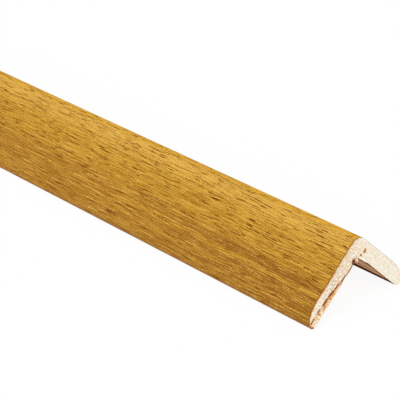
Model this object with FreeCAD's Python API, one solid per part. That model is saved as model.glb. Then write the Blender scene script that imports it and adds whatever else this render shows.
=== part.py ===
"""Corner guard moulding: an L section of pale wood, veneered over its two outer faces.

All sizes are in millimetres. X runs along the length and Z is up. The moulding lies as it
rests unheld on a floor, like a ridge tile: on both free edges, with its outer corner up and
its long leg towards -Y. The origin is at the middle of its footprint, on the floor.

The section is drawn from the sharp corner where the planes of the two outer faces meet. A
point of a leg is given by its distance along the leg from that corner, and by its depth
below the leg's outer face.
"""
import FreeCAD
import Part

import math
import os

# The stock
LENGTH = 1200.0
LONG_LEG = 30.0
SHORT_LEG = 25.0
THICKNESS = 5.0
VENEER_THICKNESS = 0.5

# The outer corner, measured over the veneer
CORNER_RADIUS = 3.4

# The free edge of each leg: a long easing, a tighter nose, then the eased arris at the back
EASING_LENGTH = 6.5
NOSE_RADIUS = 2.4
ARRIS_RADIUS = 1.0

# The veneer stops where the arris starts, so that the bare arris stands on the floor
VENEER_STOP_DEPTH = THICKNESS - ARRIS_RADIUS

# The easing's radius makes it tangent both to the outer face and to the nose
EASING_RADIUS = (
    (EASING_LENGTH**2 + VENEER_STOP_DEPTH**2 - 2 * EASING_LENGTH * NOSE_RADIUS)
    / (2 * (VENEER_STOP_DEPTH - NOSE_RADIUS))
)
EASING_END_ANGLE = math.degrees(
    math.atan2(EASING_RADIUS - VENEER_STOP_DEPTH, EASING_LENGTH - NOSE_RADIUS)
)

# Both arrises touch the floor at this slope of the short leg
REST_SLOPE = math.atan2(LONG_LEG - THICKNESS, SHORT_LEG - THICKNESS)

LEG_LENGTHS = {"long": LONG_LEG, "short": SHORT_LEG}


def leg_point(leg, along, depth):
    """Point of the section, in the plane of the far end, turned to the resting slope."""
    on_long, on_short = (along, depth) if leg == "long" else (depth, along)
    across = on_short * math.cos(REST_SLOPE) - on_long * math.sin(REST_SLOPE)
    up = -on_short * math.sin(REST_SLOPE) - on_long * math.cos(REST_SLOPE)
    return FreeCAD.Vector(-LENGTH / 2, across, up)


def line(start, end):
    """Straight edge between two points."""
    return Part.makeLine(start, end)


def leg_arc(leg, along, depth, radius, start, end):
    """Arc about a centre on a leg, between two angles in degrees.

    An angle is measured from the leg's own direction, towards its inner face.
    """
    points = []
    for angle in (start, (start + end) / 2, end):
        turn = math.radians(angle)
        points.append(
            leg_point(leg, along + radius * math.cos(turn), depth + radius * math.sin(turn))
        )
    return Part.Arc(*points).toShape()


def free_edge(leg, setback):
    """Nose and easing of a leg's free edge, from the veneer's stop to the outer face."""
    reach = LEG_LENGTHS[leg]
    nose = leg_arc(
        leg, reach - NOSE_RADIUS, VENEER_STOP_DEPTH, NOSE_RADIUS - setback, 0, -EASING_END_ANGLE
    )
    easing = leg_arc(
        leg, reach - EASING_LENGTH, EASING_RADIUS, EASING_RADIUS - setback, -EASING_END_ANGLE, -90
    )
    return [nose, easing]


def wrapped_line(setback):
    """The line that the veneer follows, from one free edge round the corner to the other.

    With no setback it is the veneer's outside. Set back by the veneer's thickness it is the
    core's, at an even distance below.
    """
    long_face = line(
        leg_point("long", LONG_LEG - EASING_LENGTH, setback),
        leg_point("long", CORNER_RADIUS, setback),
    )
    corner = leg_arc(
        "long", CORNER_RADIUS, CORNER_RADIUS, CORNER_RADIUS - setback, -90, -180
    )
    short_face = line(
        leg_point("short", CORNER_RADIUS, setback),
        leg_point("short", SHORT_LEG - EASING_LENGTH, setback),
    )
    short_edge = list(reversed(free_edge("short", setback)))
    return free_edge("long", setback) + [long_face, corner, short_face] + short_edge


def veneer_stop(leg):
    """Short edge across the veneer's thickness, where it ends at the arris."""
    reach = LEG_LENGTHS[leg]
    return line(
        leg_point(leg, reach, VENEER_STOP_DEPTH),
        leg_point(leg, reach - VENEER_THICKNESS, VENEER_STOP_DEPTH),
    )


def bare_back(leg):
    """Arris and flat inner face of a leg, from the veneer's stop to the inner corner."""
    reach = LEG_LENGTHS[leg]
    arris = leg_arc(leg, reach - ARRIS_RADIUS, THICKNESS - ARRIS_RADIUS, ARRIS_RADIUS, 0, 90)
    inner_face = line(
        leg_point(leg, reach - ARRIS_RADIUS, THICKNESS),
        leg_point(leg, THICKNESS, THICKNESS),
    )
    return [arris, inner_face]


def stock(edges):
    """Solid run of the closed section that these edges bound, over the whole length."""
    outline = Part.Wire(Part.__sortEdges__(edges))
    return Part.Face(outline).extrude(FreeCAD.Vector(LENGTH, 0, 0))


def make_core():
    """Pale wood angle, with its wrapped side lowered to take the veneer flush."""
    ends = [veneer_stop("long"), veneer_stop("short")]
    backs = bare_back("long") + bare_back("short")
    return stock(wrapped_line(VENEER_THICKNESS) + ends + backs)


def make_veneer():
    """Sheet of even thickness, bent round the corner and both free edges."""
    ends = [veneer_stop("long"), veneer_stop("short")]
    return stock(wrapped_line(0) + ends + wrapped_line(VENEER_THICKNESS))


def set_on_floor(shapes):
    """Bring the whole to its origin: the lowest line on the floor, centred across."""
    box = Part.makeCompound(shapes).optimalBoundingBox(False, False)
    for shape in shapes:
        shape.translate(FreeCAD.Vector(0, -box.Center.y, -box.ZMin))


pieces = {"core": make_core(), "veneer": make_veneer()}
set_on_floor(list(pieces.values()))

os.makedirs("parts", exist_ok=True)
for node, piece in pieces.items():
    piece.exportStep(f"parts/{node}.step")
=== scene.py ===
"""Corner guard moulding: the finish of one veneered length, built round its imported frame.

All sizes are in metres. X runs along the length, with the freshly sawn end at +X. A point of
the section is given on a leg: its distance along the leg from the sharp outer corner, and
its depth below the leg's outer face. In arrays of section points the first column is the
distance along the long leg and the second the distance along the short leg.
"""

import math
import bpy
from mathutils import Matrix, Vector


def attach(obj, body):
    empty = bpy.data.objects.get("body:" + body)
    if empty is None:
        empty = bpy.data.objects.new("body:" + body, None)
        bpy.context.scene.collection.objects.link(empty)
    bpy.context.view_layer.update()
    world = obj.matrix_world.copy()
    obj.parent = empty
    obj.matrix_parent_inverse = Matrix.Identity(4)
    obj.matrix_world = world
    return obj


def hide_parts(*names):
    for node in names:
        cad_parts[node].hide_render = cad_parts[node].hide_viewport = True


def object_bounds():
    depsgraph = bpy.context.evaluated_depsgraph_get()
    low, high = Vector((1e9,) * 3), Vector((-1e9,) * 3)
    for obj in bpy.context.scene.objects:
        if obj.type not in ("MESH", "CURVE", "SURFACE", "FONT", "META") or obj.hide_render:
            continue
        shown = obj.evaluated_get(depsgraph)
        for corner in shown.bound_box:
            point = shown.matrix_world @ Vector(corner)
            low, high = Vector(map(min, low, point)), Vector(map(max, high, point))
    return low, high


bl_info = {
    "name": "Corner guard moulding",
    "version": (1, 0, 0),
    "blender": (4, 5, 0),
    "location": "3D View > Sidebar > Corner guard",
    "description": "Veneered wooden corner guard with a sawn end, on a pale floor",
    "category": "Add Mesh",
}

import bmesh
import bpy
import numpy as np
from bpy.props import FloatProperty, FloatVectorProperty, IntProperty, PointerProperty
from bpy.types import NodeSocket, Operator, Panel, PropertyGroup
from mathutils import Matrix, Vector

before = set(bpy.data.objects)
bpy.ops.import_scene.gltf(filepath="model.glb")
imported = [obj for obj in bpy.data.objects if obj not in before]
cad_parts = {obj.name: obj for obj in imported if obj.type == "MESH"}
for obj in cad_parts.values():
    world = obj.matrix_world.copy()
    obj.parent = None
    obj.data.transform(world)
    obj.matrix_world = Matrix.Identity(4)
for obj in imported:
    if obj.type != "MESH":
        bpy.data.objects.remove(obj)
CAD_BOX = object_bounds()

# Length of the moulding, from the frame
FAR_END, NEAR_END = CAD_BOX[0][0], CAD_BOX[1][0]

# Size of the repeating table of random heights
NOISE_TILE = 64

# Points closer than this are one point
WELD_DISTANCE = 2e-6


# Settings

def metres(name, default, description):
    """Setting that is a length."""
    return FloatProperty(name=name, description=description, default=default, unit="LENGTH")


def degrees(name, default, description):
    """Setting that is an angle, with its default in degrees."""
    return FloatProperty(name=name, description=description, default=math.radians(default),
                         subtype="ANGLE")


def amount(name, default, description, **limits):
    """Setting that is a plain number."""
    return FloatProperty(name=name, description=description, default=default, **limits)


def tint(name, default, description):
    """Setting that is a colour."""
    return FloatVectorProperty(name=name, description=description, default=default,
                               subtype="COLOR", size=3, min=0, max=1)


class SectionSizes(PropertyGroup):
    """Sizes of the moulding's section, as in the part"""

    long_leg: metres("Long leg", 0.030, "Outside width of the long leg")
    short_leg: metres("Short leg", 0.025, "Outside width of the short leg")
    thickness: metres("Thickness", 0.005, "Thickness of both legs, veneer included")
    veneer: metres("Veneer", 0.0005, "Thickness of the veneer")
    corner_radius: metres("Corner radius", 0.0034, "Radius of the outer corner, over the veneer")
    easing: metres("Easing length", 0.0065, "How far a free edge's rounding reaches up its leg")
    nose_radius: metres("Nose radius", 0.0024, "Radius at the tip of a free edge")
    arris_radius: metres("Arris radius", 0.0010, "Radius of the eased arris at the back")
    step: metres("Mesh step", 0.00012, "Distance between points round the section")


class SawnEnd(PropertyGroup):
    """How the near end was sawn and torn"""

    tear_start: metres("Tear start", 0.0102, "Distance along the long leg where the tear begins")
    tear_width_tip: metres("Tear width at tip", 0.0018, "Width of the torn band at the free edge")
    tear_depth: metres("Tear depth", 0.00016, "How far the torn band lies behind the sawn face")
    crevice_depth: metres("Crevice depth", 0.0003, "Depth of the crack along the band's front")
    crevice_width: metres("Crevice width", 0.00042, "Half width of that crack")
    jaggedness: metres("Jaggedness", 0.00018, "How far the torn front wanders to either side")
    stain_width: metres("Stain width", 0.0050, "How far the finish crept over the back")
    roughness: metres("Saw roughness", 0.00003, "Height of the saw's marks on the end")
    fibres: IntProperty(name="Loose fibres", description="Number of loose fibres in the torn band",
                        default=150, min=0)
    seed: IntProperty(name="Seed", description="Start of the random draws", default=7)


class WoodColours(PropertyGroup):
    """Colours of the veneer and of the bare wood"""

    # Light and dark honey are partly painted light: painted sheen near the outer corner, painted
    # shade towards the free edges
    honey_light_and_sheen: tint("Light honey", (0.76, 0.425, 0.074), "Veneer near the outer corner")
    honey: tint("Honey", (0.580, 0.300, 0.030), "Veneer in the middle of a leg")
    honey_dark_and_shade: tint("Dark honey", (0.52, 0.252, 0.028), "Veneer towards a free edge")
    # Gold is painted highlight: the bright crest of the outer corner and the lit side of the amber
    # splinter
    gold_highlight: tint("Gold", (1.0, 0.50, 0.010), "Veneer at the turn to the short leg")
    # Brown streak also colours the painted shade on the legs' lower part near the sawn end
    streak_and_shade: tint("Brown streak", (0.29, 0.115, 0.014), "Broad brown streaks of the veneer")
    pale_fibre: tint("Pale fibre", (0.84, 0.52, 0.10), "Lightest fibres of the veneer")
    pore: tint("Pore", (0.12, 0.020, 0.0005), "Open pores of the veneer")
    veneer_edge: tint("Veneer edge", (0.38, 0.125, 0.004), "Sawn edge of the veneer")
    veneer_edge_pale: tint("Pale veneer edge", (0.66, 0.53, 0.38),
                           "Sawn edge of the veneer on the short leg")
    cream: tint("Cream", (0.925, 0.88, 0.75), "Freshly sawn end of the core")
    torn: tint("Torn wood", (0.76, 0.41, 0.145), "Torn band of the sawn end")
    # Crevice colour is painted shade in the crack, and the brown of the pits, specks and rim
    crack_shade_and_brown: tint("Crevice", (0.26, 0.070, 0.003), "Wood inside the crack")
    back: tint("Back", (0.78, 0.47, 0.27), "Planed back of the core")
    # Back stain also serves as painted shade: the near black of the chip in the end's inner corner
    stain_and_chip_shade: tint("Back stain", (0.100, 0.022, 0.001),
                     "Where the finish crept round onto the bare arris")


class StageSettings(PropertyGroup):
    """Camera, floor and lights"""

    azimuth: degrees("Azimuth", 56.612, "Camera's bearing, turned from -Y towards +X")
    elevation: degrees("Elevation", 26.841, "Camera's height over the floor, as an angle")
    roll: degrees("Roll", -8.739, "Camera's turn about its own axis")
    distance: metres("Distance", 0.68825, "From the camera to the point that it looks at")
    aim_from_end: metres("Aim from end", 0.06512, "Where the camera looks, back from the end")
    aim_along_leg: metres("Aim along leg", 0.01105, "Where the camera looks, along the long leg")
    focal_length: amount("Focal length", 203.32, "Lens, in millimetres, for a 36 mm sensor")
    floor_size: metres("Floor size", 12.0, "Width of the floor")
    floor_glow: amount("Floor glow", 0.35, "Share of the floor that glows, as a light table does",
                       min=0, max=1)
    ambient: amount("Ambient", 0.42, "Strength of the even light from all round")
    key: amount("Key light", 0.42, "Strength of the soft light from the front and above")
    side: amount("Side light", 0.38, "Strength of the soft light that faces the sawn end")


GROUPS = {
    "corner_guard_section": SectionSizes,
    "corner_guard_end": SawnEnd,
    "corner_guard_colours": WoodColours,
    "corner_guard_stage": StageSettings,
}


def settings(context):
    """The scene's settings: the section, the sawn end, the colours and the stage."""
    return [getattr(context.scene, name) for name in GROUPS]


# Section

def leg_arc(centre, radius, start, end, count):
    """Arc on a leg: centre plus radius times the cosine and sine of evenly spread angles.

    Angles are in degrees, from the leg's own direction towards its inner face.
    """
    turn = np.radians(np.linspace(start, end, count))
    return np.array(centre) + radius * np.column_stack((np.cos(turn), np.sin(turn)))


def leg_line(start, end, count):
    """Straight run on a leg: evenly spread mixes of two (along, depth) points."""
    share = np.linspace(0, 1, count)[:, None]
    return (1 - share) * np.array(start) + share * np.array(end)


def joined(runs):
    """Runs of points end to end, each without the point that it shares with the last."""
    return np.concatenate([runs[0]] + [run[1:] for run in runs[1:]])


def counts(sizes, reach):
    """How many points the arris, nose, easing and flat of a leg take at the mesh step."""
    flat = reach - sizes.easing - sizes.corner_radius
    arris = math.pi / 2 * sizes.arris_radius
    return [int(math.ceil(length / sizes.step)) + 1
            for length in (arris, sizes.nose_radius, sizes.easing, flat)]


def outer_leg(sizes, reach, setback):
    """Leg's wrapped side, from the veneer's stop round the free edge to the outer corner.

    Two arcs that touch each other and the face: the nose, then the longer easing. The
    easing's radius is worked out from its length, the nose and the veneer's stop.
    """
    stop = sizes.thickness - sizes.arris_radius
    nose = sizes.nose_radius
    radius = (sizes.easing**2 + stop**2 - 2 * sizes.easing * nose) / (2 * (stop - nose))
    meet = math.degrees(math.atan2(radius - stop, sizes.easing - nose))
    _, nose_count, easing_count, flat_count = counts(sizes, reach)
    return joined([
        leg_arc((reach - nose, stop), nose - setback, 0, -meet, nose_count),
        leg_arc((reach - sizes.easing, radius), radius - setback, -meet, -90, easing_count),
        leg_line((reach - sizes.easing, setback), (sizes.corner_radius, setback), flat_count),
    ])


def back_leg(sizes, reach):
    """Leg's bare side, from the veneer's stop over the arris to the inner corner."""
    arris_count, nose_count, easing_count, flat_count = counts(sizes, reach)
    edge_count = nose_count + easing_count - 1
    arris, deep = sizes.arris_radius, sizes.thickness
    return joined([
        leg_arc((reach - arris, deep - arris), arris, 0, 90, arris_count),
        leg_line((reach - arris, deep), (reach - sizes.easing, deep), edge_count),
        leg_line((reach - sizes.easing, deep), (deep, deep), flat_count),
    ])


def corner_count(sizes):
    """How many points the outer corner takes."""
    return 2 * int(math.ceil(sizes.corner_radius / sizes.step)) + 1


def wrapped_line(sizes, setback):
    """Section points under or over the veneer, from the long leg's edge to the short leg's."""
    radius = sizes.corner_radius
    return joined([
        outer_leg(sizes, sizes.long_leg, setback),
        leg_arc((radius, radius), radius - setback, -90, -180, corner_count(sizes)),
        outer_leg(sizes, sizes.short_leg, setback)[::-1, ::-1],
    ])


def seat_line(sizes):
    """Section points of the core under the veneer, with the ledge at each end that it stops on."""
    stop = sizes.thickness - sizes.arris_radius
    ledges = [
        leg_line((reach, stop), (reach - sizes.veneer, stop), counts(sizes, reach)[0])
        for reach in (sizes.long_leg, sizes.short_leg)]
    return joined([ledges[0], wrapped_line(sizes, sizes.veneer), ledges[1][::-1, ::-1]])


def back_line(sizes):
    """Section points of the bare back, matched one to one with the seat line.

    The arris is matched with the ledge, so that no face of an end folds over.
    """
    corner = (sizes.thickness, sizes.thickness)
    return joined([
        back_leg(sizes, sizes.long_leg),
        leg_line(corner, corner, corner_count(sizes)),
        back_leg(sizes, sizes.short_leg)[::-1, ::-1],
    ])


def developed(line):
    """Distance along a line of points, zero at its outer corner, positive on the long leg."""
    steps = np.hypot(*np.diff(line, axis=0).T)
    run = np.concatenate(([0.0], np.cumsum(steps)))
    corner = np.argmin(line.sum(axis=1))
    return run[corner] - run


def turned(sizes, section):
    """Section points turned until both arrises are level, as distances across and up."""
    slope = math.atan2(sizes.long_leg - sizes.thickness, sizes.short_leg - sizes.thickness)
    sine, cosine = math.sin(slope), math.cos(slope)
    on_long, on_short = section[..., 0], section[..., 1]
    return np.stack((on_short * cosine - on_long * sine,
                     -on_short * sine - on_long * cosine), axis=-1)


def corner_place(sizes):
    """Where the sharp outer corner lies across and up, so that the section rests centred."""
    wrapped = turned(sizes, wrapped_line(sizes, 0))
    back = turned(sizes, back_line(sizes))
    middle = (CAD_BOX[0][1] + CAD_BOX[1][1]) / 2
    floor = CAD_BOX[0][2]
    return np.array((middle - (wrapped[:, 0].min() + wrapped[:, 0].max()) / 2,
                     floor - back[:, 1].min()))


def placed(sizes, x, section):
    """Points in the row frame: x along the length, the section turned and set on the floor."""
    across_up = turned(sizes, section) + corner_place(sizes)
    x = np.broadcast_to(x, section.shape[:-1])[..., None]
    return np.clip(np.concatenate((x, across_up), axis=-1), *CAD_BOX)


# Noise

def smooth(value):
    """Smooth step: 3t squared less 2t cubed, with t held between 0 and 1."""
    t = np.clip(value, 0, 1)
    return t * t * (3 - 2 * t)


def noise(first, second, seed):
    """Value noise from 0 to 1: random heights on a unit lattice, mixed by the smooth step."""
    heights = np.random.default_rng(seed).random((NOISE_TILE, NOISE_TILE))
    row, column = np.floor(first).astype(int), np.floor(second).astype(int)
    down, aside = smooth(first - row), smooth(second - column)

    def between(row):
        """Height on a row of the lattice, mixed between two columns."""
        return (heights[row % NOISE_TILE, column % NOISE_TILE] * (1 - aside)
                + heights[row % NOISE_TILE, (column + 1) % NOISE_TILE] * aside)

    return between(row) * (1 - down) + between(row + 1) * down


def ripple(place, cell, seed, shift=0):
    """Value noise along one direction, with cells of a given length."""
    return noise(place / cell + shift, place * 0, seed)


# Mesh

def new_object(name, data):
    """Object in the scene that holds this mesh, light or camera."""
    item = bpy.data.objects.new(name, data)
    bpy.context.scene.collection.objects.link(item)
    return item


def welded_piece(name, points, faces, materials):
    """Object from points and faces, without material numbers or values."""
    mesh = bpy.data.meshes.new(name)
    mesh.from_pydata(points, [], faces.tolist())
    weld(mesh)
    for material in materials:
        mesh.materials.append(material)
    return new_object(name, mesh)


def sheet_faces(rows, columns, first):
    """Quads of a grid whose points are numbered row by row, starting at first."""
    corner = first + np.arange(rows - 1)[:, None] * columns + np.arange(columns - 1)
    return np.stack((corner, corner + 1, corner + columns + 1, corner + columns),
                    axis=-1).reshape(-1, 4)


def closed_piece(name, sheets, materials, layers, sharp):
    """One welded, outward-facing object from grids of points that meet at their borders.

    Each sheet is (points, material number, {layer name: value per point}). The object is
    shaded smooth, but for edges sharper than an angle in degrees.
    """
    points, faces, numbers = [], [], []
    values = {layer: [] for layer in layers}
    first = 0
    for grid, number, extra in sheets:
        rows, columns = grid.shape[:2]
        quads = sheet_faces(rows, columns, first)
        points.append(grid.reshape(-1, 3))
        faces.append(quads)
        numbers.append(np.full(len(quads), number))
        for layer in layers:
            value = np.broadcast_to(extra.get(layer, 0.0), (rows, columns))
            values[layer].append(value.reshape(-1))
        first += rows * columns
    mesh = bpy.data.meshes.new(name)
    mesh.from_pydata(np.concatenate(points), [], np.concatenate(faces).tolist())
    mesh.polygons.foreach_set("material_index", np.concatenate(numbers))
    for layer in layers:
        attribute = mesh.attributes.new(layer, "FLOAT", "POINT")
        attribute.data.foreach_set("value", np.concatenate(values[layer]))
    weld(mesh)
    for material in materials:
        mesh.materials.append(material)
    mesh.polygons.foreach_set("use_smooth", np.ones(len(mesh.polygons), dtype=bool))
    mesh.set_sharp_from_angle(angle=math.radians(sharp))
    return new_object(name, mesh)


def weld(mesh):
    """Join points that lie together, drop faces without area and turn all faces outwards."""
    shape = bmesh.new()
    shape.from_mesh(mesh)
    bmesh.ops.remove_doubles(shape, verts=shape.verts, dist=WELD_DISTANCE)
    bmesh.ops.dissolve_degenerate(shape, edges=shape.edges, dist=WELD_DISTANCE / 2)
    bmesh.ops.recalc_face_normals(shape, faces=shape.faces)
    shape.to_mesh(mesh)
    shape.free()


def stations(end_gaps, middle_count):
    """Places along the length: set gaps in from both ends, evenly spread between them."""
    near = NEAR_END - np.array(end_gaps)
    far = FAR_END + np.array(end_gaps)
    middle = np.linspace(far[-1], near[-1], middle_count)
    return np.concatenate((far[:-1], middle, near[:-1][::-1]))


def filled_section(outer, inner, count):
    """Grid of section points: evenly spread mixes of an outer and an inner line."""
    share = np.linspace(0, 1, count)[None, :, None]
    return outer[:, None, :] * (1 - share) + inner[:, None, :] * share


def strip_sheets(sizes, section, along, near_recess, far_recess, extras):
    """The four or six sheets of a solid strip bent to the section.

    Where the section's outer and inner line don't meet at their own ends, a narrow sheet
    closes the strip there. Its near and far end are drawn in by the recess of each point of
    the section. Its sides have the first material and its ends the second.
    """
    near_x, far_x = NEAR_END - near_recess, FAR_END + far_recess

    def side(name, index):
        """Sheet along the length over one line of the section."""
        line = section[index]
        x = np.broadcast_to(along[:, None], (len(along), len(line))).copy()
        x[0], x[-1] = far_x[index], near_x[index]
        line = np.broadcast_to(line, (len(along), *line.shape))
        return placed(sizes, x, line), 0, extras[name]

    whole = slice(None)
    sheets = [side("outer", (whole, 0)), side("inner", (whole, -1))]
    if not np.allclose(section[0, 0], section[0, -1]):
        sheets += [side("long_stop", 0), side("short_stop", -1)]
    return sheets + [(placed(sizes, near_x, section), 1, extras["near"]),
                     (placed(sizes, far_x, section), 1, extras["far"])]


# Sawn end

# Strokes of the crack: distance along the long leg, width of the torn band there, half length
# and half width
STROKES = (
    (0.0129, 0.00037, 0.0014, 0.00048),
    (0.0157, 0.00087, 0.0013, 0.00040),
    (0.0184, 0.00125, 0.0015, 0.00054),
    (0.0214, 0.00159, 0.0015, 0.00050),
    (0.0247, 0.00182, 0.0009, 0.00038),
    (0.0281, 0.00187, 0.0011, 0.00036),
)

# Pits: distance along the long leg and along the short leg, radius, and how dark
PITS = (
    (0.00240, 0.00590, 0.00046, 0.60),
    (0.00290, 0.00605, 0.00056, 0.66),
    (0.00445, 0.00555, 0.00050, 0.66),
    (0.00442, 0.00138, 0.00030, 0.35),
    (0.00575, 0.00090, 0.00030, 0.35),
    (0.00900, 0.00100, 0.00030, 0.35),
    (0.00955, 0.00140, 0.00024, 0.30),
    (0.01365, 0.00275, 0.00036, 0.45),
)
PIT_DEPTH = 0.0003

# Chip out of the inner corner: its middle along and below the long leg, its half length down
# the corner's bisector, its half width, and its depth
CHIP_MIDDLE = (0.0072, 0.0048)
CHIP_HALF_LENGTH = 0.0011
CHIP_HALF_WIDTH = 0.0009
CHIP_DEPTH = 0.0004

# Splinters: both ends, each as distances along the long leg and along the short leg, and
# radius. The first is amber. The last is a burr along the short leg's inner edge.
SPLINTERS = (
    ((0.0063, 0.0045), (0.0073, 0.0054), 0.00032),
    ((0.0059, 0.0050), (0.0069, 0.0060), 0.00030),
    ((0.0051, 0.0052), (0.0049, 0.0100), 0.00060),
)

# Loose fibres: how far from both ends of the torn band and from the back they stand, their
# lengths, half widths and lean, and how far behind the saw's plane they stay
FIBRE_MARGINS = (0.001, 0.0012, 0.0001)
FIBRE_LENGTHS = (0.0004, 0.0011)
FIBRE_HALF_WIDTHS = (0.00004, 0.00009)
FIBRE_LEAN = 0.25
FIBRE_SETBACK = 0.00008


def saw_marks(end, section, seed):
    """Fine relief of a sawn end: two sizes of noise, the finer one half as high."""
    u, v = section[..., 0], section[..., 1]
    coarse, fine = 0.0006, 0.00022
    relief = noise(u / coarse, v / coarse, seed) + 0.5 * noise(u / fine, v / fine, seed + 1)
    return end.roughness * relief


def torn_band(sizes, end, section):
    """Where the end is torn and where its crack runs, from 0 to 1.

    The band lies along the long leg's back. Its front runs from one stroke of the crack to
    the next, and wanders a little by noise. Each stroke is a flat-topped bell along and
    across. Between them the crack is faint and broken.
    """
    u, v = section[..., 0], section[..., 1]
    coarse, fine, mean = 0.0017, 0.0007, 0.75
    front_fade, start_fade = 0.00014, 0.0006
    faint, faint_cell, faint_fade = 0.3, 0.0015, 0.002
    places = [end.tear_start] + [stroke[0] for stroke in STROKES] + [sizes.long_leg]
    widths = [0.0] + [stroke[1] for stroke in STROKES] + [end.tear_width_tip]
    wander = ripple(u, coarse, end.seed) + 0.5 * ripple(u, fine, end.seed + 1)
    width = np.interp(u, places, widths) + end.jaggedness * (wander - mean)
    inside = v - (sizes.thickness - width)
    torn = smooth(inside / front_fade + 0.5) * smooth((u - end.tear_start) / start_fade)
    broken = smooth(ripple(u, faint_cell, end.seed + 2) * 3 - 1)
    crack = (faint * np.exp(-(inside / end.crevice_width)**2) * broken
             * smooth((u - end.tear_start) / faint_fade))
    for centre, _, half_length, half_width in STROKES:
        stroke = np.exp(-((u - centre) / half_length)**4 - (inside / half_width)**4)
        crack = np.maximum(crack, stroke)
    return torn, crack


def brown_rim(sizes, end, section):
    """Where the end is brown along the long leg's back and at its tip, from 0 to 1.

    The rim is a bell across, broken up by noise and strongest before the torn band. The tip
    fades in by smooth steps, down the leg and through its thickness.
    """
    u, v = section[..., 0], section[..., 1]
    half_width, start, start_fade = 0.00055, 0.0072, 0.001
    strength, loss, loss_start, loss_fade = 0.85, 0.78, 0.013, 0.004
    cell = 0.0014
    tip_length, tip_fade, tip_depth, depth_fade, tip_strength = 0.0011, 0.0006, 0.0028, 0.0008, 0.7
    rim = np.exp(-((v - sizes.thickness) / half_width)**2) * smooth((u - start) / start_fade)
    rim = rim * (strength - loss * smooth((u - loss_start) / loss_fade))
    rim = rim * smooth(ripple(u, cell, end.seed + 4) * 3 + 0.2)
    tip = smooth((u - sizes.long_leg + tip_length) / tip_fade)
    tip = tip * smooth((v - tip_depth) / depth_fade)
    return np.maximum(rim, tip_strength * tip)


def pit_share(section):
    """How deep in a pit each point lies: a flat-topped bell round each pit's centre."""
    share = np.zeros(section.shape[:-1])
    for u, v, radius, dark in PITS:
        away = np.hypot(section[..., 0] - u, section[..., 1] - v)
        share = np.maximum(share, dark * np.exp(-(away / radius)**4))
    return share


def chip_share(section):
    """How deep in the chip each point lies: a bell stretched along the corner's bisector."""
    u, v = section[..., 0] - CHIP_MIDDLE[0], section[..., 1] - CHIP_MIDDLE[1]
    down, aside = (u + v) / math.sqrt(2), (u - v) / math.sqrt(2)
    return np.exp(-(down / CHIP_HALF_LENGTH)**4 - (aside / CHIP_HALF_WIDTH)**4)


def near_recess(sizes, end, section):
    """How far each point of the core's near end lies behind the saw's plane.

    The torn band's depth varies by long noise and fine noise, and fades out at the back.
    """
    u, v = section[..., 0], section[..., 1]
    long_cell, fine_cell, back_fade = (0.0009, 0.00025), (0.0003, 0.0002), 0.0006
    torn, crack = torn_band(sizes, end, section)
    fibrous = noise(u / long_cell[0], v / long_cell[1], end.seed + 4)
    fine = noise(u / fine_cell[0], v / fine_cell[1], end.seed + 5)
    fibrous = 0.35 + 0.9 * fibrous + 0.4 * fine
    from_back = smooth((sizes.thickness - v) / back_fade)
    deep = from_back * torn * end.tear_depth * fibrous + crack * end.crevice_depth
    pits = np.maximum(PIT_DEPTH * pit_share(section), CHIP_DEPTH * chip_share(section))
    return deep + pits + saw_marks(end, section, end.seed + 6)


def stained(end, line, behind):
    """How dark the back is along its line of the section, at distances behind the near end.

    The finish stained it near both free edges, up to a smooth step. It is also darker at the
    near end: a bell by the inner corner, and an exponential everywhere.
    """
    edge_fade, reach_fade = 0.0014, 0.012
    corner_end, corner_fade, corner_reach = 0.0100, 0.0080, 0.0032
    end_darkness, end_darkness_reach = 0.90, 0.0015
    over = developed(line)
    behind = np.reshape(behind, (-1, 1))
    bare = np.minimum(over[0] - over, over - over[-1])
    reach = end.stain_width * (0.80 + 0.20 * smooth(behind / reach_fade))
    crept = 1 - smooth((bare - reach) / edge_fade)
    by_corner = 1 - smooth((line[:, 1] - corner_end) / corner_fade)
    darker_at_end = by_corner * np.exp(-(behind / corner_reach)**2)
    darker_at_end = np.maximum(darker_at_end, end_darkness * np.exp(-behind / end_darkness_reach))
    return np.maximum(crept, darker_at_end)


def chipped(over, columns, seed):
    """Recess of the veneer's sawn edge: noise along the wrapped line, the same throughout."""
    depth, cell, shift = 0.00006, 0.0005, 100
    wrap = np.broadcast_to(over[:, None], (len(over), columns))
    return depth * ripple(wrap, cell, seed, shift)


def fibre_points(sizes, root, lean, length, half, spin):
    """Four corners at the root of each fibre and two at its tip, in the row frame.

    A fibre starts behind the saw's plane and ends level with it, leaning a little. Its root
    is a flat lozenge, and its tip a short edge.
    """
    wide, narrow, tip_width = 1.6, 0.5, 0.35
    turn = spin[:, None] + np.array((0, math.pi / 2, math.pi, 3 * math.pi / 2))
    reach = half[:, None] * np.array((wide, narrow, wide, narrow))
    foot = root[:, None] + np.stack((reach * np.cos(turn), reach * np.sin(turn)), -1)
    tip = (root + lean)[:, None] + tip_width * (foot[:, (0, 2)] - root[:, None])
    section = np.concatenate((foot, tip), axis=1)
    behind = np.array((1, 1, 1, 1, 0, 0)) * length[:, None] + FIBRE_SETBACK
    return placed(sizes, NEAR_END - behind, section)


def fibre_faces(count):
    """Closed wedge for each fibre: a foot, two sloping sides and two ends."""
    wedge = np.array(((0, 1, 2), (0, 2, 3), (0, 4, 1), (1, 4, 5), (1, 5, 2), (2, 5, 3),
                      (3, 5, 4), (3, 4, 0)))
    return (wedge[None] + 6 * np.arange(count)[:, None, None]).reshape(-1, 3)


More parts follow.
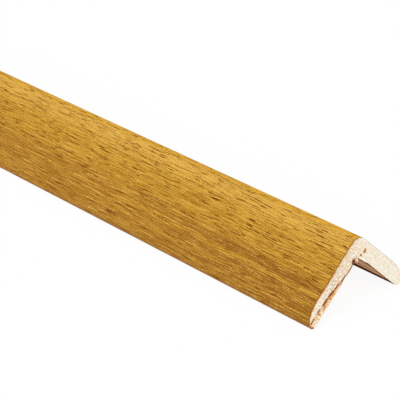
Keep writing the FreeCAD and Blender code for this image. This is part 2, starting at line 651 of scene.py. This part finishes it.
def splinter_grid(sizes, start, finish, thick):
    """Rings of a splinter and a point at each end, in the row frame.

    Its middle runs straight from start to finish and bows towards the end's plane as half a
    sine wave. Each ring is an ellipse whose size falls with the square root of what is left
    of the length.
    """
    rings, ring_points, setback, bow, flatness = 16, 13, 0.00035, 0.00025, 0.5
    share = np.linspace(0, 1, rings)
    middle = np.array(start) + share[:, None] * (np.array(finish) - np.array(start))
    x = NEAR_END - setback + bow * np.sin(math.pi * share)
    radius = thick * np.sqrt(np.clip(1.03 - share, 0, 1))
    turn = np.linspace(0, math.tau, ring_points)
    aside = radius[:, None] * np.cos(turn)
    section = middle[:, None] + np.stack((aside, -aside), axis=-1) / math.sqrt(2)
    grid = placed(sizes, x[:, None] + flatness * radius[:, None] * np.sin(turn), section)
    tips = [np.broadcast_to(grid[i].mean(axis=0), grid[i].shape)[None] for i in (0, -1)]
    return np.concatenate((tips[0], grid, tips[1]))


# Nodes

def add(tree, kind, inputs=None, **options):
    """Add a node, set its own options, and fill its inputs with values or links.

    A plain colour goes in with full alpha.
    """
    node = tree.nodes.new(kind)
    for name, value in options.items():
        setattr(node, name, value)
    for key, value in (inputs or {}).items():
        socket = node.inputs[key]
        if isinstance(value, NodeSocket):
            tree.links.new(value, socket)
        else:
            socket.default_value = (*value, 1.0) if socket.type == "RGBA" else value
    return node


def maths(tree, operation, first, second=0.0, clamp=False):
    """Output of a Math node on two values or sockets."""
    return add(tree, "ShaderNodeMath", {0: first, 1: second},
               operation=operation, use_clamp=clamp).outputs[0]


def times(tree, first, second):
    """Product of two values or sockets."""
    return maths(tree, "MULTIPLY", first, second)


def ramp(tree, value, low, high, out_low=0.0, out_high=1.0):
    """Smooth change from one value to another as the input goes from low to high."""
    return add(tree, "ShaderNodeMapRange",
               {"Value": value, "From Min": low, "From Max": high,
                "To Min": out_low, "To Max": out_high},
               interpolation_type="SMOOTHSTEP").outputs["Result"]


def mixed(tree, share, first, second, blend="MIX"):
    """Mix of two colours by a share."""
    return add(tree, "ShaderNodeMix", {0: share, 6: first, 7: second},
               data_type="RGBA", blend_type=blend).outputs[2]


def shaded(tree, colour, value):
    """Colour with each of its channels multiplied by a value."""
    grey = add(tree, "ShaderNodeCombineColor", {0: value, 1: value, 2: value}).outputs[0]
    return mixed(tree, 1.0, colour, grey, "MULTIPLY")


def attribute(tree, name):
    """One of the piece's own values."""
    return add(tree, "ShaderNodeAttribute", attribute_name=name).outputs["Fac"]


def surface_place(tree, along, over):
    """Place on the surface: along the length, then over the wrapped face."""
    return add(tree, "ShaderNodeCombineXYZ", {0: along, 1: over}).outputs[0]


def object_place(tree):
    """Object coordinates, and the distance across the moulding on its own."""
    place = add(tree, "ShaderNodeTexCoord").outputs["Object"]
    return place, add(tree, "ShaderNodeSeparateXYZ", {0: place}).outputs[1]


def speckle(tree, place, cells, detail):
    """Noise from 0 to 1 with so many cells to the metre."""
    return add(tree, "ShaderNodeTexNoise",
               {"Vector": place, "Scale": cells, "Detail": detail}).outputs[0]


def relief(tree, shader, height, strength, depth):
    """Bump of the surface from heights, with its strength and its depth in metres."""
    bump = add(tree, "ShaderNodeBump",
               {"Height": height, "Strength": strength, "Distance": depth})
    tree.links.new(bump.outputs[0], shader.inputs["Normal"])


def seen_directly(tree):
    """1 where the eye meets a surface straight, by a reflection or through glass, else 0."""
    path = add(tree, "ShaderNodeLightPath")
    seen = maths(tree, "ADD", path.outputs["Is Camera Ray"], path.outputs["Is Glossy Ray"])
    return maths(tree, "ADD", seen, path.outputs["Is Transmission Ray"], clamp=True)


def new_group(name, numbers, output):
    """Node group with a vector and some numbers going in and one value coming out.

    Its vector, counted in cells that are long along the grain and narrow across, is given
    with it.
    """
    group = bpy.data.node_groups.new(name, "ShaderNodeTree")
    group.interface.new_socket("Vector", in_out="INPUT", socket_type="NodeSocketVector")
    for label, default in numbers.items():
        socket = group.interface.new_socket(label, in_out="INPUT",
                                            socket_type="NodeSocketFloat")
        socket.default_value = default
    group.interface.new_socket(output, in_out="OUTPUT", socket_type="NodeSocketFloat")
    given = group.nodes.new("NodeGroupInput").outputs
    parts = add(group, "ShaderNodeSeparateXYZ", {0: given["Vector"]}).outputs
    along, across, deep = (maths(group, "DIVIDE", part, given[size])
                           for part, size in zip(parts, ("Length", "Width", "Width")))
    cells = add(group, "ShaderNodeCombineXYZ",
                {0: maths(group, "ADD", along, given["Shift"]),
                 1: maths(group, "ADD", across, given["Shift"]), 2: deep}).outputs[0]
    return group, given, cells, group.nodes.new("NodeGroupOutput").inputs[output]


def streak_group(name):
    """Grain streaks: noise whose cells are stretched along the grain."""
    group, given, cells, result = new_group(
        name, {"Length": 0.05, "Width": 0.001, "Shift": 0.0, "Detail": 2.0}, "Value")
    pattern = add(group, "ShaderNodeTexNoise", {"Vector": cells, "Scale": 1.0,
                                                "Detail": given["Detail"], "Roughness": 0.6})
    group.links.new(pattern.outputs[0], result)
    return group


def pore_group(name):
    """Open pores: one spindle-shaped mark in each stretched cell, of uneven size."""
    group, given, cells, result = new_group(
        name, {"Length": 0.012, "Width": 0.0008, "Shift": 0.0, "Size": 0.16, "Share": 0.7},
        "Mask")
    cell = add(group, "ShaderNodeTexVoronoi", {"Vector": cells, "Scale": 1.0, "Randomness": 1.0},
               feature="F1", voronoi_dimensions="2D").outputs
    draw = add(group, "ShaderNodeSeparateColor", {0: cell["Color"]}).outputs
    size = times(group, given["Size"], ramp(group, draw[0], 0.0, 1.0, 0.5, 1.0))
    closeness = maths(group, "SUBTRACT", 1.0, maths(group, "DIVIDE", cell[0], size))
    strength = ramp(group, draw[2], 0.0, 1.0, 0.80, 1.0)
    mark = times(group, ramp(group, closeness, 0.0, 0.15), strength)
    kept = maths(group, "LESS_THAN", draw[1], given["Share"])
    group.links.new(times(group, mark, kept), result)
    return group


def use_group(tree, name, build, place, inputs):
    """Output of a group, built once, with its own place and values."""
    group = bpy.data.node_groups.get(name) or build(name)
    return add(tree, "ShaderNodeGroup", {"Vector": place, **inputs},
               node_tree=group).outputs[0]


def streaks(tree, place, **inputs):
    """Grain streaks from 0 to 1."""
    return use_group(tree, "Grain streaks", streak_group, place, inputs)


def pores(tree, place, **inputs):
    """Mask of the open pores."""
    return use_group(tree, "Open pores", pore_group, place, inputs)


def new_material(name, **surface):
    """Material with its own Principled shader, set to plain values."""
    material = bpy.data.materials.new(name)
    material.use_nodes = True
    tree = material.node_tree
    shader = tree.nodes["Principled BSDF"]
    for key, value in surface.items():
        shader.inputs[key.replace("_", " ")].default_value = value
    return material, tree, shader


# Materials

# Brown bands of the veneer, and the golden lines between them: distance over the long leg from
# the crown of the corner, half width, and strength
BROWN_BANDS = (
    (0.0187, 0.0018, 0.80),
    (0.0224, 0.0010, 0.75),
    (0.0258, 0.0012, 0.85),
)
GOLDEN_LINES = (
    (0.0208, 0.0006, 0.4),
    (0.0241, 0.0007, 0.4),
    (0.0277, 0.0006, 0.3),
)

# Layers of the veneer's fibre: length, width, shift of the pattern, and contrast
GRAIN_LAYERS = (
    (0.110, 0.00070, 2.9, 0.06),
    (0.040, 0.00034, 8.1, 0.13),
    (0.013, 0.00026, 4.6, 0.20),
    (0.0060, 0.00022, 1.7, 0.19),
    (0.0009, 0.00030, 5.3, 0.17),
)

# Layers of the veneer's pores: length and width of a cell, shift, size in the cell, share of
# the cells that have one, and what is left of one where it breaks
PORE_LAYERS = (
    (0.0360, 0.00100, 2.6, 0.17, 0.70, 0.40),
    (0.0190, 0.00086, 9.4, 0.19, 0.72, 0.15),
    (0.0100, 0.00076, 6.8, 0.21, 0.74, 0.15),
)


def banded(tree, over, bands, spread):
    """Strongest of some bands along the length, each fading from its middle to its edge."""
    strongest = 0.0
    for centre, half_width, strength in bands:
        off = maths(tree, "ABSOLUTE", maths(tree, "SUBTRACT", over, centre))
        band = ramp(tree, off, half_width * 0.3, half_width * spread, strength, 0.0)
        strongest = maths(tree, "MAXIMUM", strongest, band)
    return strongest


def veneer_material(colours):
    """Golden brown veneer under satin lacquer."""
    material, tree, shader = new_material("satin_veneer", Specular_IOR_Level=0.02)
    along, over, rim = (attribute(tree, name) for name in ("along", "over", "rim"))
    aside = maths(tree, "ABSOLUTE", over)
    # Lighter near the outer corner and darker towards the free edges: the veneer's tone with
    # painted sheen and painted shade
    base = mixed(tree, ramp(tree, aside, 0.002, 0.010), colours.honey_light_and_sheen, colours.honey)
    base = mixed(tree, ramp(tree, aside, 0.008, 0.022), base, colours.honey_dark_and_shade)

    # Slow bends of the grain
    bend = streaks(tree, surface_place(tree, along, over),
                   Length=0.030, Width=0.008, Shift=6.3, Detail=1.0)
    bend = times(tree, maths(tree, "SUBTRACT", bend, 0.5), 0.0020)
    bent = maths(tree, "ADD", over, bend)
    place = surface_place(tree, along, bent)

    # Brown bands: the three of the long leg, and looser ones everywhere
    loose = streaks(tree, place, Length=0.16, Width=0.0040, Shift=3.7, Detail=3.0)
    brown = times(tree, ramp(tree, loose, 0.46, 0.70),
                  ramp(tree, aside, 0.010, 0.019, 0.10, 0.75))
    near = ramp(tree, along, NEAR_END - 0.075, NEAR_END - 0.035, 0.55, 1.0)
    brown = maths(tree, "MAXIMUM", brown,
                  times(tree, banded(tree, bent, BROWN_BANDS, 1.3), near))
    # Painted shade: the legs' lower part darkens towards the sawn end
    painted_shade_near_end = times(tree, ramp(tree, aside, 0.014, 0.022),
                     ramp(tree, along, NEAR_END - 0.062, NEAR_END - 0.015, 0.0, 0.45))
    base = mixed(tree, painted_shade_near_end, base, colours.streak_and_shade)
    base = mixed(tree, brown, base, colours.streak_and_shade)
    golden = times(tree, banded(tree, bent, GOLDEN_LINES, 1.2), near)
    base = mixed(tree, golden, base, colours.honey)
    # Painted highlight in gold along the crest of the outer corner and its turn to the short leg
    base = mixed(tree, ramp(tree, over, -0.0006, 0.0016, 0.9, 0.0), base, colours.gold_highlight)
    base = mixed(tree, ramp(tree, rim, 0.0010, 0.0060, 0.6, 0.0), base, colours.streak_and_shade)

    # Fine fibres, long and thin: dark ones brown the wood, light ones pale it
    figure = 1.0
    fibres = []
    for length, width, shift, contrast in GRAIN_LAYERS:
        fibres.append(streaks(tree, place, Length=length, Width=width, Shift=shift, Detail=1.0))
        figure = times(tree, figure,
                       ramp(tree, fibres[-1], 0.34, 0.66, 1 - contrast, 1 + contrast))
    dark = maths(tree, "SUBTRACT", 1.0, figure, clamp=True)
    base = mixed(tree, times(tree, dark, 2.2), base, colours.streak_and_shade)
    pale = maths(tree, "SUBTRACT", figure, 1.0, clamp=True)
    base = mixed(tree, times(tree, pale, 1.3), base, colours.pale_fibre)

    # Open pores: long thin slits, denser near the corner
    gather = streaks(tree, place, Length=0.024, Width=0.0040, Shift=7.7, Detail=2.0)
    gather = times(tree, ramp(tree, gather, 0.38, 0.54, 0.50, 1.0),
                   ramp(tree, aside, 0.008, 0.026, 1.0, 0.80))
    breaks = streaks(tree, place, Length=0.0038, Width=0.0008, Shift=1.3, Detail=1.0)
    marks = 0.0
    for length, width, shift, size, share, left in PORE_LAYERS:
        slits = pores(tree, place, Length=length, Width=width, Shift=shift, Size=size,
                      Share=share)
        slits = times(tree, slits, ramp(tree, breaks, 0.44, 0.50, left, 1.0))
        marks = maths(tree, "MAXIMUM", marks, slits)
    marks = times(tree, marks, gather)
    base = mixed(tree, marks, base, colours.pore)

    # Brown at the sawn end and along the free edges
    sawn = ramp(tree, along, NEAR_END - 0.0006, NEAR_END - 0.0001, 0.0, 0.80)
    base = mixed(tree, sawn, base, colours.veneer_edge)
    base = mixed(tree, ramp(tree, rim, 0.0004, 0.0014, 0.80, 0.0), base, colours.veneer_edge)
    tree.links.new(base, shader.inputs["Base Color"])
    height = maths(tree, "SUBTRACT", times(tree, fibres[-1], 0.4), marks)
    relief(tree, shader, height, 0.4, 0.00003)
    rough = maths(tree, "ADD", ramp(tree, fibres[0], 0.3, 0.7, 0.40, 0.50),
                  times(tree, marks, 0.2))
    tree.links.new(rough, shader.inputs["Roughness"])
    return material


def veneer_edge_material(colours):
    """Sawn edge of the veneer: brown outside and pale within, paler on the short leg."""
    material, tree, shader = new_material("sawn_veneer_edge", Roughness=0.7,
                                          Specular_IOR_Level=0.2)
    over, depth = attribute(tree, "over"), attribute(tree, "depth")
    place, _ = object_place(tree)
    mottle = ramp(tree, speckle(tree, place, 1600, 3), 0.40, 0.75, 0.0, 0.6)
    brown = mixed(tree, mottle, colours.veneer_edge, colours.streak_and_shade)
    base = mixed(tree, ramp(tree, over, -0.0015, 0.0025), colours.veneer_edge_pale, brown)
    depth = maths(tree, "ADD", depth, ramp(tree, over, 0.008, 0.018, 0.10, -0.15))
    patch = ramp(tree, speckle(tree, place, 450, 1), 0.38, 0.62, -0.02, 0.16)
    depth = maths(tree, "ADD", depth, patch)
    base = mixed(tree, ramp(tree, depth, 0.40, 0.76, 0.0, 0.95), base, colours.cream)
    tree.links.new(base, shader.inputs["Base Color"])
    return material


def back_material(colours):
    """Planed bare wood of the back, with the finish's stain along the arris."""
    material, tree, shader = new_material("planed_back", Roughness=0.8,
                                          Specular_IOR_Level=0.0)
    place = surface_place(tree, attribute(tree, "along"), attribute(tree, "over"))
    bands = streaks(tree, place, Length=0.09, Width=0.0026, Shift=2.3, Detail=4.0)
    base = shaded(tree, colours.back, ramp(tree, bands, 0.36, 0.64, 0.70, 1.14))
    marks = pores(tree, place, Length=0.009, Width=0.0009, Shift=4.4, Size=0.22, Share=0.7)
    base = mixed(tree, times(tree, marks, 0.6), base, colours.streak_and_shade)
    base = mixed(tree, attribute(tree, "stain"), base, colours.stain_and_chip_shade)
    tree.links.new(base, shader.inputs["Base Color"])
    relief(tree, shader, maths(tree, "SUBTRACT", bands, marks), 0.3, 0.00006)
    return material


def end_grain_material(colours):
    """Freshly sawn end grain: mottled cream, peach where torn, and dark brown painted shade in the
    crack.
    """
    material, tree, shader = new_material("sawn_end_grain", Roughness=0.85,
                                          Specular_IOR_Level=0.2)
    place, across = object_place(tree)

    # Pink clouds and flecks, strongest down the long leg
    ruddy = times(tree, ramp(tree, across, -0.013, -0.007, 0.70, 1.20),
                  ramp(tree, across, -0.001, 0.008, 1.0, 0.35))
    cloudy = ramp(tree, speckle(tree, place, 500, 3), 0.40, 0.64, 0.03, 0.29)
    base = mixed(tree, times(tree, cloudy, ruddy), colours.cream, colours.torn)
    flecks = ramp(tree, speckle(tree, place, 2100, 1), 0.50, 0.64, 0.0, 0.80)
    base = mixed(tree, times(tree, flecks, ruddy), base, colours.torn)

    # Dull grains, darkest in the middle of the long leg
    middle = times(tree, ramp(tree, across, -0.0120, -0.0095, 0.0, 0.16),
                   ramp(tree, across, -0.0055, -0.0030, 1.0, 0.0))
    darkest = maths(tree, "SUBTRACT", 0.86, middle)
    dull = speckle(tree, place, 1500, 1)
    base = shaded(tree, base, ramp(tree, dull, 0.36, 0.58, darkest, 1.0))

    # Torn band: peach, with pale grit and dark specks
    grit = speckle(tree, place, 2000, 3)
    pale = times(tree, ramp(tree, grit, 0.42, 0.60),
                 ramp(tree, across, -0.0150, -0.0085, 1.0, 0.55))
    peach = mixed(tree, pale, colours.torn, colours.cream)
    specks = ramp(tree, speckle(tree, place, 1300, 1), 0.54, 0.66, 0.0, 0.75)
    peach = mixed(tree, specks, peach, colours.crack_shade_and_brown)
    base = mixed(tree, attribute(tree, "torn"), base, peach)

    # Crack, pits, rim and chip; the crack's dark brown is painted shade in the crack
    crack, pit, rim, chip = (attribute(tree, name) for name in ("crack", "pit", "rim", "chip"))
    marks = maths(tree, "MAXIMUM", maths(tree, "MAXIMUM", crack, pit), rim)
    base = mixed(tree, ramp(tree, marks, 0.02, 0.45), base, colours.torn)
    base = mixed(tree, ramp(tree, marks, 0.25, 0.80), base, colours.crack_shade_and_brown)
    # Painted shade: the chip in the inner corner is painted near black
    base = mixed(tree, chip, base, colours.stain_and_chip_shade)
    tree.links.new(base, shader.inputs["Base Color"])
    relief(tree, shader, grit, 0.4, 0.0001)
    return material


def fibre_material(colours):
    """Loose fibres of torn wood."""
    material, tree, shader = new_material("torn_fibre", Roughness=0.8, Specular_IOR_Level=0.2)
    mottle = speckle(tree, object_place(tree)[0], 900, 2)
    base = mixed(tree, ramp(tree, mottle, 0.25, 0.50), colours.torn, colours.cream)
    tree.links.new(base, shader.inputs["Base Color"])
    return material


def splinter_material(colours):
    """Amber splinter: torn wood soaked with finish, brown, with a painted golden highlight on one
    side.
    """
    material, tree, shader = new_material("amber_splinter", Roughness=0.45)
    # Painted highlight: gold on the splinter's side towards +Y, brown elsewhere
    side = ramp(tree, object_place(tree)[1], 0.0016, 0.0020)
    base = mixed(tree, side, colours.veneer_edge, colours.gold_highlight)
    tree.links.new(base, shader.inputs["Base Color"])
    return material


def floor_material(stage):
    """Softly glowing white floor, seen as white as the surroundings with a faint shadow."""
    material = bpy.data.materials.new("pale_floor")
    material.use_nodes = True
    tree = material.node_tree
    tree.nodes.remove(tree.nodes["Principled BSDF"])
    matt = add(tree, "ShaderNodeBsdfDiffuse", {"Color": (0.80, 0.80, 0.80)})
    glow = add(tree, "ShaderNodeEmission", {"Color": (1.0, 1.0, 1.0), "Strength": 1.03})
    share = ramp(tree, seen_directly(tree), 0.0, 1.0, stage.floor_glow, 0.90)
    blend = add(tree, "ShaderNodeMixShader",
                {0: share, 1: matt.outputs[0], 2: glow.outputs[0]})
    tree.links.new(blend.outputs[0], tree.nodes["Material Output"].inputs["Surface"])
    return material


# Operators

class CORNERGUARD_OT_core(Operator):
    """Build the pale wood core with its sawn ends and its torn band"""

    bl_idname = "corner_guard.core"
    bl_label = "Core"

    def execute(self, context):
        sizes, end, colours, _ = settings(context)
        back = back_line(sizes)
        over = developed(back)
        across_count = int((sizes.thickness - sizes.veneer) / sizes.step) + 1
        section = filled_section(seat_line(sizes), back, across_count)
        along = stations((0.0, 0.0005, 0.001, 0.002, 0.003, 0.0045, 0.008, 0.015), 9)
        torn, crack = torn_band(sizes, end, section)
        side = {"along": along[:, None], "over": over,
                "stain": stained(end, back, NEAR_END - along)}
        far = {"along": FAR_END, "over": over[:, None],
               "stain": stained(end, back, NEAR_END - FAR_END).T}
        near = {"along": NEAR_END, "over": over[:, None], "stain": stained(end, back, 0).T,
                "torn": torn, "crack": crack, "rim": brown_rim(sizes, end, section),
                "pit": pit_share(section), "chip": chip_share(section)}
        sheets = strip_sheets(sizes, section, along, near_recess(sizes, end, section),
                              saw_marks(end, section, end.seed + 20),
                              {"outer": side, "inner": side, "near": near, "far": far})
        piece = closed_piece("core_body", sheets,
                             [back_material(colours), end_grain_material(colours)],
                             ("along", "over", "stain", "torn", "crack", "rim", "pit", "chip"),
                             sharp=50)
        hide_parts("core")
        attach(piece, "root")
        return {"FINISHED"}


class CORNERGUARD_OT_veneer(Operator):
    """Build the veneer, bent round the outer corner and both free edges"""

    bl_idname = "corner_guard.veneer"
    bl_label = "Veneer"

    def execute(self, context):
        sizes, end, colours, _ = settings(context)
        outer = wrapped_line(sizes, 0)
        over = developed(outer)
        rim = np.minimum(over[0] - over, over - over[-1])
        section = filled_section(outer, wrapped_line(sizes, sizes.veneer), 4)
        columns = section.shape[1]
        along = stations((0.0, 0.0003, 0.001, 0.003, 0.010), 13)
        side = {"along": along[:, None], "over": over, "rim": rim}
        extras = {"outer": side, "inner": side,
                  "long_stop": {"along": along[:, None], "over": over[0]},
                  "short_stop": {"along": along[:, None], "over": over[-1]}}
        for name, x in (("near", NEAR_END), ("far", FAR_END)):
            extras[name] = {"along": x, "over": over[:, None],
                            "depth": np.linspace(0, 1, columns)}
        sheets = strip_sheets(sizes, section, along, chipped(over, columns, end.seed + 30),
                              chipped(over, columns, end.seed + 31), extras)
        piece = closed_piece("veneer_wrap", sheets,
                             [veneer_material(colours), veneer_edge_material(colours)],
                             ("along", "over", "rim", "depth"), sharp=40)
        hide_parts("veneer")
        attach(piece, "root")
        return {"FINISHED"}


class CORNERGUARD_OT_fibres(Operator):
    """Build the loose fibres that stand in the torn band of the sawn end"""

    bl_idname = "corner_guard.fibres"
    bl_label = "Torn fibres"

    def execute(self, context):
        sizes, end, colours, _ = settings(context)
        draw = np.random.default_rng(end.seed + 40)
        count = end.fibres
        from_start, from_tip, from_back = FIBRE_MARGINS
        u = draw.uniform(end.tear_start + from_start, sizes.long_leg - from_tip, count)
        share = (u - end.tear_start) / (sizes.long_leg - end.tear_start)
        width = end.tear_width_tip * (0.4 + 0.6 * share)
        v = sizes.thickness - from_back - draw.uniform(0, 0.85, count) * width
        length = draw.uniform(*FIBRE_LENGTHS, count)
        lean = draw.normal(0, FIBRE_LEAN, (count, 2)) * length[:, None]
        half = draw.uniform(*FIBRE_HALF_WIDTHS, count)
        spin = draw.uniform(0, math.tau, count)
        points = fibre_points(sizes, np.column_stack((u, v)), lean, length, half, spin)
        piece = welded_piece("torn_fibres", points.reshape(-1, 3), fibre_faces(count),
                             [fibre_material(colours)])
        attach(piece, "root")
        return {"FINISHED"}


class CORNERGUARD_OT_splinter(Operator):
    """Build the two splinters in the chip at the end's inner corner, and the burr beside them"""

    bl_idname = "corner_guard.splinter"
    bl_label = "Corner splinters"

    def execute(self, context):
        sizes, _, colours, _ = settings(context)
        sheets = [(splinter_grid(sizes, *splinter), int(number > 0), {})
                  for number, splinter in enumerate(SPLINTERS)]
        piece = closed_piece("corner_splinters", sheets,
                             [splinter_material(colours), fibre_material(colours)], (),
                             sharp=60)
        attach(piece, "root")
        return {"FINISHED"}


class CORNERGUARD_OT_stage(Operator):
    """Set the pale floor, the soft lights and the camera"""

    bl_idname = "corner_guard.stage"
    bl_label = "Stage"

    def execute(self, context):
        *_, stage = settings(context)
        context.scene.view_settings.view_transform = "Standard"
        make_floor(stage)
        make_world(context.scene, stage)
        make_sun("key_light", stage.key, azimuth=20, elevation=48, softness=55)
        make_sun("side_light", stage.side, azimuth=82, elevation=30, softness=60)
        make_camera(context, stage)
        return {"FINISHED"}


def make_floor(stage):
    """Flat floor just under the moulding."""
    half = stage.floor_size / 2
    height = CAD_BOX[0][2]
    corners = [(-half, -half, height), (half, -half, height), (half, half, height),
               (-half, half, height)]
    mesh = bpy.data.meshes.new("floor")
    mesh.from_pydata(corners, [], [(0, 1, 2, 3)])
    mesh.materials.append(floor_material(stage))
    floor = new_object("floor", mesh)


def make_world(scene, stage):
    """Even light from all round, seen as plain white."""
    world = bpy.data.worlds.new("studio")
    world.use_nodes = True
    tree = world.node_tree
    background = tree.nodes["Background"]
    background.inputs["Color"].default_value = (1.0, 1.0, 1.0, 1.0)
    strength = ramp(tree, seen_directly(tree), 0.0, 1.0, stage.ambient, 1.0)
    tree.links.new(strength, background.inputs["Strength"])
    scene.world = world


def make_sun(name, strength, azimuth, elevation, softness):
    """Soft light from a bearing and a height in degrees; softness is its width as an angle."""
    light = bpy.data.lights.new(name, "SUN")
    light.energy = strength * math.pi
    light.angle = math.radians(softness)
    lamp = new_object(name, light)
    lamp.matrix_world = looking(math.radians(azimuth), math.radians(elevation), 0.0)


def looking(azimuth, elevation, roll):
    """Turn that looks at the origin from a bearing and height, rolled about its own axis."""
    back = Vector((math.sin(azimuth) * math.cos(elevation),
                   -math.cos(azimuth) * math.cos(elevation), math.sin(elevation)))
    right = Vector((math.cos(azimuth), math.sin(azimuth), 0.0))
    up = back.cross(right)
    rolled_right = right * math.cos(roll) + up * math.sin(roll)
    rolled_up = up * math.cos(roll) - right * math.sin(roll)
    return Matrix((rolled_right, rolled_up, back)).transposed().to_4x4()


def make_camera(context, stage):
    """Camera at the photograph's bearing, height, roll and distance."""
    sizes, *_ = settings(context)
    aim = placed(sizes, NEAR_END - stage.aim_from_end, np.array((stage.aim_along_leg, 0.0)))
    turn = looking(stage.azimuth, stage.elevation, stage.roll)
    back = turn.col[2].to_3d()
    lens = bpy.data.cameras.new("camera")
    lens.sensor_width = 36.0
    lens.lens = stage.focal_length
    lens.clip_start = 0.01
    camera = new_object("camera", lens)
    camera.matrix_world = Matrix.Translation(Vector(aim) + back * stage.distance) @ turn
    context.scene.camera = camera


STEPS = (
    CORNERGUARD_OT_core,
    CORNERGUARD_OT_veneer,
    CORNERGUARD_OT_fibres,
    CORNERGUARD_OT_splinter,
    CORNERGUARD_OT_stage,
)


class CORNERGUARD_PT_panel(Panel):
    """Sizes, colours and building steps of the corner guard"""

    bl_label = "Corner guard"
    bl_idname = "CORNERGUARD_PT_panel"
    bl_space_type = "VIEW_3D"
    bl_region_type = "UI"
    bl_category = "Corner guard"

    def draw(self, context):
        for step in STEPS:
            self.layout.operator(step.bl_idname)
        for group in settings(context):
            box = self.layout.box()
            for key in group.__annotations__:
                box.prop(group, key)


def register():
    """Make the settings, steps and panel known to Blender."""
    for item in (*GROUPS.values(), *STEPS, CORNERGUARD_PT_panel):
        bpy.utils.register_class(item)
    for name, kind in GROUPS.items():
        setattr(bpy.types.Scene, name, PointerProperty(type=kind))


def unregister():
    """Take the settings, steps and panel away again."""
    for name in GROUPS:
        delattr(bpy.types.Scene, name)
    for item in (CORNERGUARD_PT_panel, *reversed(STEPS), *reversed(GROUPS.values())):
        bpy.utils.unregister_class(item)


def main():
    """Build the moulding step by step."""
    register()
    bpy.ops.corner_guard.core()
    bpy.ops.corner_guard.veneer()
    bpy.ops.corner_guard.fibres()
    bpy.ops.corner_guard.splinter()
    bpy.ops.corner_guard.stage()
    bpy.context.view_layer.update()


if __name__ == "__main__":
    main()
